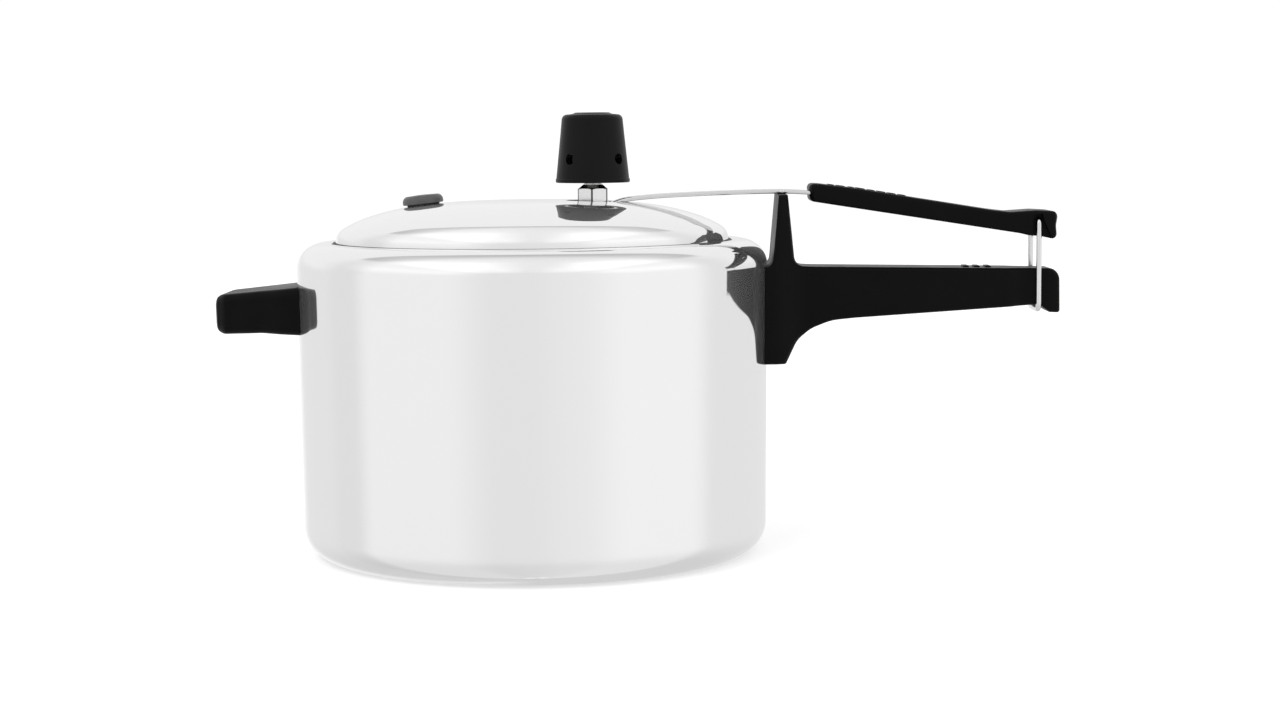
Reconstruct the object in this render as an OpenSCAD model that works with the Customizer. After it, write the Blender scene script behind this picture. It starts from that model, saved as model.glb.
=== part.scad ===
// Stovetop pressure cooker with an inner-closing oval lid.
// The lid seals upwards against the underside of the pot's mouth. A leaf-spring strap,
// clamped under the valve-stem nut, bears on a post of the long handle and carries the
// lid grip; a wire bail on the grip hooks under the end of the long handle.
// Frame: origin at the centre of the pot's base, +Z up, +X towards the long handle.

/* [Pot] */
// Outer radius of the pot wall just above the base curve
pot_foot_r = 102.6; // [101:0.2:104]
// Outer radius of the pot wall just below the shoulder
pot_top_r = 103.8; // [103:0.2:105]
// Height where the wall turns into the shoulder
shoulder_z = 127; // [125:0.5:128]
// Radius of the curve between base and wall
foot_round = 13; // [8:0.5:20]
// Radius of the shoulder curve
shoulder_round = 11; // [9:0.5:12]
// Thickness of the pot wall
pot_wall = 2; // [1.5:0.1:2.5]
// Thickness of the pot base
base_wall = 3; // [2:0.5:6]
// Half length of the oval mouth, along X
mouth_a = 88.7; // [88.2:0.1:90]
// Half width of the oval mouth, along Y
mouth_b = 84; // [83.6:0.1:85]

/* [Lid] */
// Half length of the lid dome, along X
lid_a = 86.8; // [86:0.1:87.2]
// Half width of the lid dome, along Y
lid_b = 82.2; // [81.6:0.1:82.6]
// Height of the dome above its flange
lid_rise = 22.9; // [20:0.1:25]
// Thickness of the lid sheet
lid_wall = 2; // [1.5:0.1:2.5]
// Outward reach of the flange and gasket beyond the dome
flange_reach = 5.6; // [4:0.1:5.8]
// Height of the gasket ring
gasket_h = 2.9; // [2:0.1:2.9]

/* [Valve] */
// Distance of the valve stem from the pot axis
stem_x = 27; // [20:0.5:32]
// Radius of the threaded valve stem
stem_r = 4; // [3.5:0.1:4.5]
// Width of the stem nut across its flats
nut_flats = 13; // [12:0.5:14]
// Height of the stem nut
nut_h = 5.7; // [5:0.1:6]
// Distance of the safety valve from the pot axis
safety_x = 48; // [40:1:55]
// Radius of the safety valve's cap
safety_r = 9; // [7:0.5:10]

/* [Weight] */
// Radius of the regulator weight at its lower edge
weight_foot_r = 16.4; // [15.5:0.05:17]
// Radius of the regulator weight at its top shoulder
weight_top_r = 13.4; // [13.2:0.1:14]
// Radius of the four steam holes
steam_hole_r = 2.35; // [1.5:0.05:2.5]

/* [Handles] */
// Overall reach of the long handle from the pot axis
handle_end_x = 232.6; // [230:0.2:236]
// Half width of the long handle along its middle
handle_half_w = 12; // [11:0.5:14]
// Half width of the long handle between the bail's legs
handle_tip_half_w = 9.6; // [8:0.1:9.7]
// Half width of the lid grip
grip_half_w = 12.6; // [12.5:0.1:14]
// Overall reach of the helper handle from the pot axis
helper_end_x = 139.5; // [135:0.5:145]
// Width of the leaf-spring strap
strap_w = 16; // [14:0.5:18]
// Thickness of the leaf-spring strap
strap_t = 1.8; // [1:0.1:2]

/* [Bail] */
// Radius of the bail wire
wire_r = 1.2; // [1:0.05:1.2]
// Half distance between the bail's legs
bail_half_w = 11.2; // [11.2:0.05:11.4]
// Height of the bail's pivot
bail_top_z = 145.6; // [145.4:0.1:145.8]
// Height of the bail's cross-bar
bail_low_z = 106.2; // [105.8:0.1:106.3]
// Distance of the bail from the pot axis
bail_x = 222.6; // [222.4:0.1:222.8]

/* [Hidden] */
$fn = 96;

// Pot
ring_r = pot_top_r - shoulder_round;
rim_z = shoulder_z + shoulder_round;
mouth_cut_r = 80;
mouth_rise = 0.5;

// Lid
flange_t = 2;
flange_z = 131;
dome_z = flange_z + flange_t;
dome_power = 2.5;
dome_root = 0.33;
oval = lid_b / lid_a;
oval_sides = 72;
dome_steps = 13;
seat_z = 152.3;
seat_r = 15.5;

// Valve stack, from the lid upwards
strap_top_z = seat_z + strap_t;
washer_t = 1;
washer_r = 7.1;
nut_z = strap_top_z + washer_t;
nut_turn = 27.5;
collar_z = nut_z + nut_h;
collar_h = 1.7;
stem_cone_z = 165;
stem_top_z = 168;
steam_bore_r = 1.5;
seal_t = 2;
seal_r = 9.5;
stem_flange_t = 3;
stem_tip_r = 2.4;
nut_chamfer_r = 0.7;
nut_chamfer_h = 0.5;
collar_r = 6.3;

// Regulator weight
weight_z = 163.4;
weight_lip_z = 165.2;
weight_shoulder_z = 191.2;
weight_top_z = 194.2;
weight_shoulder_round = 2.4;
weight_cap_r = 7.5;
chamber_r = 12.4;
chamber_top_z = 176.5;
core_r = 11;
core_top_z = 189;
core_hub_r = 5.5;
needle_r = 2.5;
needle_flange_z = stem_top_z + 0.05;
needle_flange_t = 1.25;
needle_flange_r = 5;
needle_tip_h = 1.8;
retaining_t = 0.8;
retaining_inner_r = 10.8;
core_z = needle_flange_z + needle_flange_t + 0.1;
needle_top_z = 186;
running = 0.05;
steam_hole_z = 173.4;
steam_hole_turn = 50;

// Safety valve
safety_tilt = -6;
safety_cap_h = 4.1;
safety_neck_r = 5;
safety_flange_r = 7.3;
safety_gap = 0.9;
safety_surface_z = dome_z + dome_height(safety_x, lid_a, lid_rise);

// Handle mounting
fit = 0.2;
bracket_t = 2;
rivet_r = 2;
rivet_head_r = 4.5;
screw_r = 2;
screw_head_r = 4;
screw_head_t = 2;
screw_lift = 1;
long_screw_drop = 5;
helper_screw_drop = 4;
grip_screw_drop = 1.2;
rivet_head_t = 1.4;
tongue_t = 3;
tongue_end = 8;

// Long handle side view
post_top_z = 157.8;
handle_top_z = 126.2;
handle_foot_z = 83.4;
handle_root_half_w = 19;
handle_rivet_z = [96, 119];
handle_screw_x = 142;
long_plate_z = 90;
long_plate_h = 34;
long_plate_w = 24;
long_tongue_z = 110;
long_tongue_w = 12;

// Helper handle
helper_low_z = 98.6;
helper_top_z = 119;
helper_root_half_w = 27;
helper_tip_half_w = 20;
helper_mid_z = 109;
helper_rivet_y = [-14, 14];
helper_screw_x = 122;
helper_plate_h = 14;
helper_plate_z = helper_mid_z - helper_plate_h / 2;
helper_plate_w = 40;
helper_tongue_w = 16;

// Strap underside, from the stem to the buried end
strap_path = [
    [34.2, 0],
    [37.5, 1.4],
    [41, 2.5],
    [47, 3.4],
    [56, 4.3],
    [66, 4.9],
    [81, 5.4],
    [96, 5.6],
    [112, 5.6],
    [122, 5.0],
    [132, 4.2],
    [188, -4.0]
];
strap_full_x = 46;
strap_end_x = 188;
grip_screw_x = [138, 176];
grip_nose_half_w = 10.6;
recess_half_w = 9.7;

// Bail bends
bail_top_bend = 1.9;
bail_low_bend = 2.4;
bail_pin_y = 5;

function arc(cx, cy, r, a0, a1, n) =
    [for (i = [0:n]) let (a = a0 + (a1 - a0) * i / n) [cx + r * cos(a), cy + r * sin(a)]];

function ellipse_points(a, b, n) = [for (i = [0:n - 1]) [a * cos(360 * i / n), b * sin(360 * i / n)]];

// Height of the lid dome above its flange at a distance r from its centre
function dome_height(r, a, h) = h * pow(max(0, 1 - pow(r / a, dome_power)), dome_root);

// Rings of the dome from its edge up to a small flat at its top
function dome_rings(a, h) =
    [for (i = [dome_steps:-1:1]) let (r = a * sin(90 * i / dome_steps)) [r, dome_z + dome_height(r, a, h)]];

function wall_r(z) = pot_foot_r + (pot_top_r - pot_foot_r) * (z - foot_round) / (shoulder_z - foot_round);

// Solid bounded by the outside of the pot wall, grown by a gap
module pot_envelope(gap) {
    cylinder(h = shoulder_z + 40, r1 = wall_r(0) + gap, r2 = wall_r(shoulder_z + 40) + gap, $fn = 180);
}

// A flat outline in X and Z, extruded along Y over a full width
module side_plate(outline, width) {
    rotate([90, 0, 0])
        linear_extrude(height = width, center = true)
            polygon(outline);
}

module pot_body() {
    outer = concat(
        [[0, 0]],
        arc(pot_foot_r - foot_round, foot_round, foot_round, -90, 0, 10),
        arc(ring_r, shoulder_z, shoulder_round, 0, 90, 10),
        [[mouth_cut_r, rim_z + mouth_rise]]
    );
    inner = concat(
        [[mouth_cut_r, rim_z + mouth_rise - pot_wall]],
        arc(ring_r, shoulder_z, shoulder_round - pot_wall, 90, 0, 10),
        arc(pot_foot_r - foot_round, foot_round, foot_round - pot_wall, 0, -90, 10),
        [[pot_foot_r - foot_round - 6, base_wall], [0, base_wall]]
    );
    color("silver")
        difference() {
            rotate_extrude($fn = 180) polygon(concat(outer, inner));
            translate([0, 0, rim_z - 8])
                linear_extrude(height = 16)
                    polygon(ellipse_points(mouth_a, mouth_b, 96));
            for (z = handle_rivet_z)
                translate([0, 0, z]) rotate([0, 90, 0]) cylinder(h = 120, r = rivet_r + running);
            for (y = helper_rivet_y)
                rotate([0, 0, rivet_turn(y)])
                    translate([0, 0, helper_mid_z])
                        rotate([0, -90, 0]) cylinder(h = 120, r = rivet_r + running);
        }
}

// Turn about Z that brings a rivet to the given Y on the helper side
function rivet_turn(y) = -asin(y / pot_top_r);

module long_handle() {
    tongue_tip_x = handle_screw_x + tongue_end;
    side = concat(
        [[90, handle_foot_z]],
        [[110.6, handle_foot_z], [111.7, 84.4]],
        arc(139.5, 70.5, 32, 152, 96, 8),
        [[219, 107.9]],
        [[224, 107.9], [227.6, 104.8], [handle_end_x - 1, 104.4], [handle_end_x, 105.4]],
        arc(handle_end_x - 5, 119.8, 5, 0, 90, 6),
        [[124, handle_top_z + 0.6]],
        arc(121.6, 133.4, 6.8, 265, 186, 5),
        [[112.3, post_top_z], [108.2, post_top_z], [106.0, 131]],
        arc(102.4, 131, 3.6, 0, -60, 4),
        [[90, handle_top_z]]
    );
    plan = concat(
        [[90, -handle_root_half_w], [104, -handle_root_half_w]],
        arc(118, -24.5, 12.5, 158, 90, 6),
        [[210, -handle_half_w], [217, -handle_tip_half_w]],
        arc(handle_end_x - 4, -handle_tip_half_w + 4, 4, -90, 0, 5),
        arc(handle_end_x - 4, handle_tip_half_w - 4, 4, 0, 90, 5),
        [[217, handle_tip_half_w], [210, handle_half_w]],
        arc(118, 24.5, 12.5, -90, -158, 6),
        [[104, handle_root_half_w], [90, handle_root_half_w]]
    );
    color("#1b1b1c")
        difference() {
            intersection() {
                side_plate(side, 60);
                linear_extrude(height = 200) polygon(plan);
            }
            pot_envelope(fit / 2);
            intersection() {
                pot_envelope(bracket_t + 2 * fit);
                translate([90, -long_plate_w / 2 - fit, long_plate_z - fit])
                    cube([30, long_plate_w + 2 * fit, long_plate_h + 2 * fit]);
            }
            for (z = handle_rivet_z)
                translate([95, 0, z]) rotate([0, 90, 0]) cylinder(h = 13, r = rivet_head_r + fit);
            translate([95, -long_tongue_w / 2 - fit, long_tongue_z - fit])
                cube([tongue_tip_x + fit - 95, long_tongue_w + 2 * fit, tongue_t + 2 * fit]);
            translate([handle_screw_x, 0, handle_foot_z]) {
                cylinder(h = long_tongue_z + tongue_t + 2 - handle_foot_z, r = screw_r + fit);
                cylinder(h = long_tongue_z - long_screw_drop - handle_foot_z, r = screw_head_r + fit);
            }
        }
}

module long_handle_bracket() {
    tongue_root_x = wall_r(long_tongue_z) + 1;
    color("gainsboro")
        difference() {
            union() {
                intersection() {
                    difference() {
                        pot_envelope(bracket_t + fit);
                        pot_envelope(fit);
                    }
                    translate([90, -long_plate_w / 2, long_plate_z]) cube([30, long_plate_w, long_plate_h]);
                }
                translate([tongue_root_x, -long_tongue_w / 2, long_tongue_z])
                    cube([handle_screw_x + tongue_end - tongue_root_x, long_tongue_w, tongue_t]);
            }
            for (z = handle_rivet_z)
                translate([95, 0, z]) rotate([0, 90, 0]) cylinder(h = 20, r = rivet_r + running);
            translate([handle_screw_x, 0, long_tongue_z - 1])
                cylinder(h = tongue_t + 2, r = screw_r + running);
        }
}

// One rivet along +X through the wall at the origin's height
module wall_rivet(z) {
    inner_x = wall_r(z) - pot_wall;
    outer_x = wall_r(z) + bracket_t + fit + running;
    inner_gap = 0.1;
    translate([0, 0, z])
        rotate([0, 90, 0]) {
            translate([0, 0, inner_x - rivet_head_t - inner_gap])
                cylinder(h = rivet_head_t, r1 = 3, r2 = rivet_head_r);
            translate([0, 0, inner_x - 0.5]) cylinder(h = outer_x - inner_x + 1, r = rivet_r);
            translate([0, 0, outer_x]) cylinder(h = rivet_head_t, r1 = rivet_head_r - 0.5, r2 = 3);
        }
}

module long_handle_rivets() {
    color("gainsboro")
        for (z = handle_rivet_z)
            wall_rivet(z);
}

// Pan-head screw pointing up, its head's underside at the origin
module pan_screw(length) {
    translate([0, 0, -screw_head_t]) cylinder(h = screw_head_t, r1 = screw_head_r - 0.8, r2 = screw_head_r);
    cylinder(h = length, r = screw_r);
}

module long_handle_screw() {
    color("silver")
        difference() {
            translate([handle_screw_x, 0, long_tongue_z - long_screw_drop])
                pan_screw(long_screw_drop + tongue_t + screw_lift);
            screw_slot(handle_screw_x, long_tongue_z - long_screw_drop - screw_head_t);
        }
}

// Cross slot in a screw head that faces down at height z
module screw_slot(x, z) {
    translate([x - 2.4, -0.5, z - 1]) cube([4.8, 1, 2.2]);
    translate([x - 0.5, -2.4, z - 1]) cube([1, 4.8, 2.2]);
}

module helper_handle() {
    side = concat(
        [[-90, helper_low_z + 0.8]],
        [[-90, helper_top_z + 1.4]],
        [[-136, helper_top_z - 2.6]],
        arc(-helper_end_x + 4, helper_top_z - 6.8, 4, 100, 180, 5),
        arc(-helper_end_x + 4, helper_low_z + 5.6, 4, 180, 262, 5),
        [[-118, helper_low_z + 0.2]]
    );
    plan = concat(
        [[-90, helper_root_half_w], [-106, helper_root_half_w]],
        arc(-helper_end_x + 12, helper_tip_half_w - 8, 12, 70, 180, 8),
        arc(-helper_end_x + 12, -helper_tip_half_w + 8, 12, 180, 290, 8),
        [[-106, -helper_root_half_w], [-90, -helper_root_half_w]]
    );
    color("#1b1b1c")
        difference() {
            intersection() {
                side_plate(side, 80);
                linear_extrude(height = 200) polygon(plan);
            }
            pot_envelope(fit / 2);
            intersection() {
                pot_envelope(bracket_t + 2 * fit);
                translate([-120, -helper_plate_w / 2 - fit, helper_plate_z - fit])
                    cube([30, helper_plate_w + 2 * fit, helper_plate_h + 2 * fit]);
            }
            for (y = helper_rivet_y)
                rotate([0, 0, rivet_turn(y)])
                    translate([-108.5, 0, helper_mid_z])
                        rotate([0, 90, 0]) cylinder(h = 13, r = rivet_head_r + fit);
            translate([-helper_screw_x - tongue_end - fit, -helper_tongue_w / 2 - fit, helper_mid_z - fit])
                cube([30, helper_tongue_w + 2 * fit, tongue_t + 2 * fit]);
            translate([-helper_screw_x, 0, helper_mid_z]) {
                translate([0, 0, -20]) cylinder(h = 20 + tongue_t + 3, r = screw_r + fit);
                translate([0, 0, -20]) cylinder(h = 20 - helper_screw_drop, r = screw_head_r + fit);
            }
        }
}

module helper_handle_bracket() {
    tongue_l = helper_screw_x + tongue_end - wall_r(helper_mid_z) - 1;
    color("gainsboro")
        difference() {
            union() {
                intersection() {
                    difference() {
                        pot_envelope(bracket_t + fit);
                        pot_envelope(fit);
                    }
                    translate([-120, -helper_plate_w / 2, helper_plate_z])
                        cube([30, helper_plate_w, helper_plate_h]);
                }
                translate([-helper_screw_x - tongue_end, -helper_tongue_w / 2, helper_mid_z])
                    cube([tongue_l, helper_tongue_w, tongue_t]);
            }
            for (y = helper_rivet_y)
                rotate([0, 0, rivet_turn(y)])
                    translate([0, 0, helper_mid_z])
                        rotate([0, -90, 0]) cylinder(h = 120, r = rivet_r + running);
            translate([-helper_screw_x, 0, helper_mid_z - 1]) cylinder(h = tongue_t + 2, r = screw_r + running);
        }
}

module helper_handle_rivets() {
    color("gainsboro")
        for (y = helper_rivet_y)
            rotate([0, 0, rivet_turn(y) + 180])
                wall_rivet(helper_mid_z);
}

module helper_handle_screw() {
    color("silver")
        difference() {
            translate([-helper_screw_x, 0, helper_mid_z - helper_screw_drop])
                pan_screw(helper_screw_drop + tongue_t + screw_lift);
            screw_slot(-helper_screw_x, helper_mid_z - helper_screw_drop - screw_head_t);
        }
}

// A solid of stacked ovals: each ring is its half length along X and its height, from the lowest up
module oval_stack(rings) {
    n = oval_sides;
    top = (len(rings) - 1) * n;
    sides = [
        for (j = [0:len(rings) - 2])
            for (i = [0:n - 1])
                [j * n + i, (j + 1) * n + i, (j + 1) * n + (i + 1) % n, j * n + (i + 1) % n]
    ];
    polyhedron(
        points = [
            for (p = rings)
                for (i = [0:n - 1])
                    [p[0] * cos(360 * i / n), p[0] * oval * sin(360 * i / n), p[1]]
        ],
        faces = concat([[for (i = [0:n - 1]) i]], sides, [[for (i = [n - 1:-1:0]) top + i]])
    );
}

module lid_shell() {
    dome = dome_rings(lid_a, lid_rise);
    hollow = dome_rings(lid_a - lid_wall, lid_rise - lid_wall);
    flange_r = lid_a + flange_reach - 0.4;
    color("silver")
        difference() {
            union() {
                difference() {
                    oval_stack(concat([[flange_r, flange_z], [flange_r, dome_z]], dome));
                    oval_stack(concat([[lid_a - lid_wall, flange_z - 1]], hollow));
                }
                intersection() {
                    oval_stack(dome);
                    translate([stem_x, 0, seat_z - lid_wall]) cylinder(h = 20, r = seat_r + lid_wall);
                }
            }
            translate([stem_x, 0, seat_z]) cylinder(h = 20, r = seat_r);
            translate([stem_x, 0, seat_z - 10]) cylinder(h = 20, r = stem_r + fit);
            translate([-safety_x, 0, safety_surface_z])
                rotate([0, safety_tilt, 0])
                    translate([0, 0, -10]) cylinder(h = 20, r = safety_neck_r + running);
        }
}

module lid_gasket() {
    low = dome_z + running;
    high = dome_z + gasket_h;
    color("#111111")
        difference() {
            oval_stack([
                [lid_a + flange_reach, low],
                [lid_a + flange_reach, high - 0.8],
                [lid_a + flange_reach - 0.8, high]
            ]);
            oval_stack([[lid_a + 0.1, low - 1], [lid_a + 0.1, high + 1]]);
        }
}

module lid_strap() {
    low = [for (p = strap_path) [p[0], p[1] + seat_z]];
    high = [for (i = [len(low) - 1:-1:0]) [low[i][0], low[i][1] + strap_t]];
    start = stem_x - washer_r;
    color("#d8d8d8")
        difference() {
            intersection() {
                side_plate(concat([[start, seat_z]], low, high, [[start, seat_z + strap_t]]), strap_w);
                linear_extrude(height = 200)
                    union() {
                        translate([stem_x, 0]) circle(r = washer_r);
                        polygon([
                            [stem_x, -washer_r],
                            [strap_full_x, -strap_w / 2],
                            [strap_end_x, -strap_w / 2],
                            [strap_end_x, strap_w / 2],
                            [strap_full_x, strap_w / 2],
                            [stem_x, washer_r]
                        ]);
                    }
            }
            translate([stem_x, 0, seat_z - 5]) cylinder(h = 10, r = stem_r + fit);
            for (x = grip_screw_x)
                translate([x, 0, 130]) cylinder(h = 40, r = screw_r + 2 * fit);
        }
}

module valve_stem() {
    flange_low_z = seat_z - lid_wall - seal_t - stem_flange_t;
    color("#c8c8c4")
        difference() {
            union() {
                translate([stem_x, 0, flange_low_z]) cylinder(h = stem_flange_t, r = seal_r);
                translate([stem_x, 0, flange_low_z])
                    cylinder(h = stem_cone_z - flange_low_z, r = stem_r - running);
                translate([stem_x, 0, stem_cone_z])
                    cylinder(h = stem_top_z - stem_cone_z, r1 = stem_r - running, r2 = stem_tip_r);
            }
            translate([stem_x, 0, flange_low_z - 1]) cylinder(h = 40, r = steam_bore_r);
        }
}

module stem_seal() {
    color("#202020")
        translate([stem_x, 0, seat_z - lid_wall - seal_t])
            difference() {
                cylinder(h = seal_t, r = seal_r);
                translate([0, 0, -1]) cylinder(h = seal_t + 2, r = stem_r);
            }
}

module stem_washer() {
    color("gainsboro")
        translate([stem_x, 0, strap_top_z])
            difference() {
                cylinder(h = washer_t, r = washer_r);
                translate([0, 0, -1]) cylinder(h = washer_t + 2, r = stem_r);
            }
}

module stem_nut() {
    corner_r = nut_flats / 2 / cos(30);
    color("gainsboro")
        translate([stem_x, 0, nut_z])
            difference() {
                intersection() {
                    rotate([0, 0, nut_turn]) cylinder(h = nut_h, r = corner_r, $fn = 6);
                    rotate_extrude()
                        polygon([
                            [0, 0],
                            [corner_r - nut_chamfer_r, 0],
                            [corner_r, nut_chamfer_h],
                            [corner_r, nut_h - nut_chamfer_h],
                            [corner_r - nut_chamfer_r, nut_h],
                            [0, nut_h]
                        ]);
                }
                translate([0, 0, -1]) cylinder(h = nut_h + 2, r = stem_r);
            }
}

module stem_collar() {
    color("#8a8a88")
        translate([stem_x, 0, collar_z])
            difference() {
                cylinder(h = collar_h, r1 = collar_r, r2 = stem_r + 0.3);
                translate([0, 0, -1]) cylinder(h = collar_h + 2, r = stem_r);
            }
}

module safety_valve_plug() {
    low = -lid_wall - 0.35;
    color("#141414")
        translate([-safety_x, 0, safety_surface_z])
            rotate([0, safety_tilt, 0])
                rotate_extrude()
                    polygon(concat(
                        [
                            [0, low - 3],
                            [5.6, low - 3],
                            [7, low - 1.4],
                            [7, low],
                            [safety_neck_r, low],
                            [safety_neck_r, 0.1],
                            [safety_flange_r, 0.1],
                            [safety_flange_r, safety_gap],
                            [safety_r - 0.6, safety_gap],
                            [safety_r, safety_gap + 0.8]
                        ],
                        arc(safety_r - 2.6, safety_gap + 1.3, 2.6, 0, 75, 6),
                        [[0, safety_gap + safety_cap_h]]
                    ));
}

module regulator_needle() {
    color("#b5a36a")
        translate([stem_x, 0, 0]) {
            translate([0, 0, needle_flange_z - needle_tip_h])
                cylinder(h = needle_tip_h + 0.1, r1 = 0.4, r2 = steam_bore_r - 0.3);
            translate([0, 0, needle_flange_z]) cylinder(h = needle_flange_t, r = needle_flange_r);
            translate([0, 0, needle_flange_z]) cylinder(h = needle_top_z - needle_flange_z, r = needle_r);
        }
}

module regulator_core() {
    color("#9a9a98")
        translate([stem_x, 0, 0])
            difference() {
                union() {
                    translate([0, 0, core_z]) cylinder(h = core_top_z - core_z, r = core_hub_r);
                    translate([0, 0, chamber_top_z]) cylinder(h = core_top_z - chamber_top_z, r = core_r);
                }
                translate([0, 0, core_z - 1]) cylinder(h = needle_top_z + 1.5 - core_z, r = needle_r + running);
            }
}

module regulator_cover() {
    round_r = weight_shoulder_round;
    top_x = weight_top_r - round_r;
    color("#1b1b1c")
        translate([stem_x, 0, 0])
            difference() {
                rotate_extrude()
                    polygon(concat(
                        [
                            [0, weight_z],
                            [weight_foot_r - 0.5, weight_z],
                            [weight_foot_r, weight_z + 0.5],
                            [weight_foot_r, weight_lip_z],
                            [weight_foot_r - 0.25, weight_lip_z + 0.3]
                        ],
                        arc(top_x, weight_shoulder_z, round_r, 5, 80, 6),
                        [
                            [weight_cap_r + 0.6, weight_top_z - 0.25],
                            [weight_cap_r, weight_top_z],
                            [0, weight_top_z]
                        ]
                    ));
                translate([0, 0, weight_z - 1]) cylinder(h = chamber_top_z - weight_z + 1, r = chamber_r);
                translate([0, 0, chamber_top_z - 1])
                    cylinder(h = core_top_z - chamber_top_z + 1, r = core_r + running);
                for (k = [0:3])
                    rotate([0, 0, steam_hole_turn + 90 * k])
                        translate([8, 0, steam_hole_z])
                            rotate([0, 90, 0]) cylinder(h = 12, r = steam_hole_r, $fn = 32);
            }
}

module regulator_retaining_ring() {
    color("gainsboro")
        translate([stem_x, 0, weight_z + 0.6])
            difference() {
                cylinder(h = retaining_t, r = chamber_r - running);
                translate([0, 0, -1]) cylinder(h = retaining_t + 2, r = retaining_inner_r);
            }
}

module lid_handle_grip() {
    side = concat(
        [[122.9, 156.4], [124.6, 154.8]],
        [[126.6, 154.2], [161.6, 148.8], [214.3, 140.3], [218, 139.4], [224, 138.9], [228.6, 137.6]],
        [[230.2, 137.7], [230, 143], [231, 146.8]],
        arc(228.2, 146.9, 2.6, 0, 85, 4),
        [[221.2, 149.9], [215, 149.4], [209, 149.2], [202, 150.1]],
        [[161.6, 156.8], [144.1, 159.8], [126.6, 162]],
        [[123.4, 162.2], [121.8, 161], [122, 159.6]]
    );
    buried = [for (p = strap_path) if (p[0] > 110) p];
    slot = concat(
        [for (p = buried) [p[0], seat_z + p[1] - fit]],
        [[strap_end_x + 1, seat_z - 4 - fit], [strap_end_x + 1, seat_z - 4 + strap_t + fit]],
        [for (i = [len(buried) - 1:-1:0]) [buried[i][0], seat_z + buried[i][1] + strap_t + fit]]
    );
    pocket = [
        [bail_x - 2.6, 130],
        [bail_x - 2.2, bail_top_z],
        [bail_x - 1.6, bail_top_z + 2.2],
        [bail_x + 1.8, bail_top_z + 2.2],
        [bail_x + 2.3, bail_top_z],
        [bail_x + 10.8, 130]
    ];
    plan = concat(
        [[110, -grip_nose_half_w], [124, -grip_nose_half_w], [150, -grip_half_w]],
        arc(231 - 5, -grip_half_w + 5, 5, -90, 0, 5),
        arc(231 - 5, grip_half_w - 5, 5, 0, 90, 5),
        [[150, grip_half_w], [124, grip_nose_half_w], [110, grip_nose_half_w]]
    );
    color("#1b1b1c")
        difference() {
            intersection() {
                side_plate(side, 40);
                linear_extrude(height = 200) polygon(plan);
            }
            side_plate(slot, strap_w + 2 * fit);
            for (s = [-1, 1])
                translate([0, s * (recess_half_w + 10), 0])
                    side_plate(pocket, 20);
            for (s = [-1, 1])
                translate([bail_x, 0, bail_top_z])
                    rotate([90 * s, 0, 0])
                        translate([0, 0, bail_pin_y - 0.4]) cylinder(h = 12, r = wire_r + running);
            for (x = grip_screw_x)
                translate([x, 0, 130]) cylinder(h = grip_line_z(x) + 3.4 - 130, r = screw_r + running);
            for (x = grip_screw_x)
                translate([x, 0, 130])
                    cylinder(h = grip_line_z(x) - grip_screw_drop - 130, r = screw_head_r + fit);
        }
}

// Height of the strap's underside inside the grip
function grip_line_z(x) = seat_z + 4.2 - (x - 132) * 8.2 / 56;

module grip_screws() {
    color("silver")
        for (x = grip_screw_x)
            difference() {
                translate([x, 0, grip_line_z(x) - grip_screw_drop]) pan_screw(4.3);
                screw_slot(x, grip_line_z(x) - grip_screw_drop - screw_head_t);
            }
}

// Quarter bend of wire in the YZ plane, from angle a over 90 degrees, about the origin
module wire_bend(bend_r, a) {
    rotate([90, 0, 90])
        rotate([0, 0, a])
            rotate_extrude(angle = 90)
                translate([bend_r, 0]) circle(r = wire_r, $fn = 32);
}

module bail_wire() {
    color("#dcdcdc")
        translate([bail_x, 0, 0]) {
            for (s = [-1, 1])
                mirror([0, s < 0 ? 1 : 0, 0]) {
                    translate([0, bail_pin_y, bail_top_z])
                        rotate([-90, 0, 0]) cylinder(h = bail_half_w - bail_top_bend - bail_pin_y, r = wire_r);
                    translate([0, bail_half_w - bail_top_bend, bail_top_z - bail_top_bend])
                        wire_bend(bail_top_bend, 0);
                    translate([0, bail_half_w, bail_low_z + bail_low_bend])
                        cylinder(h = bail_top_z - bail_top_bend - bail_low_z - bail_low_bend, r = wire_r);
                    translate([0, bail_half_w - bail_low_bend, bail_low_z + bail_low_bend])
                        wire_bend(bail_low_bend, -90);
                }
            translate([0, -bail_half_w + bail_low_bend, bail_low_z])
                rotate([-90, 0, 0]) cylinder(h = 2 * (bail_half_w - bail_low_bend), r = wire_r);
        }
}

pot_body();
long_handle();
long_handle_bracket();
long_handle_rivets();
long_handle_screw();
helper_handle();
helper_handle_bracket();
helper_handle_rivets();
helper_handle_screw();
lid_shell();
lid_gasket();
lid_strap();
valve_stem();
stem_seal();
stem_washer();
stem_nut();
stem_collar();
safety_valve_plug();
regulator_needle();
regulator_core();
regulator_cover();
regulator_retaining_ring();
lid_handle_grip();
grip_screws();
bail_wire();
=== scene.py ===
import math

import bmesh
import bpy
from mathutils import Matrix, Vector


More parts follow.
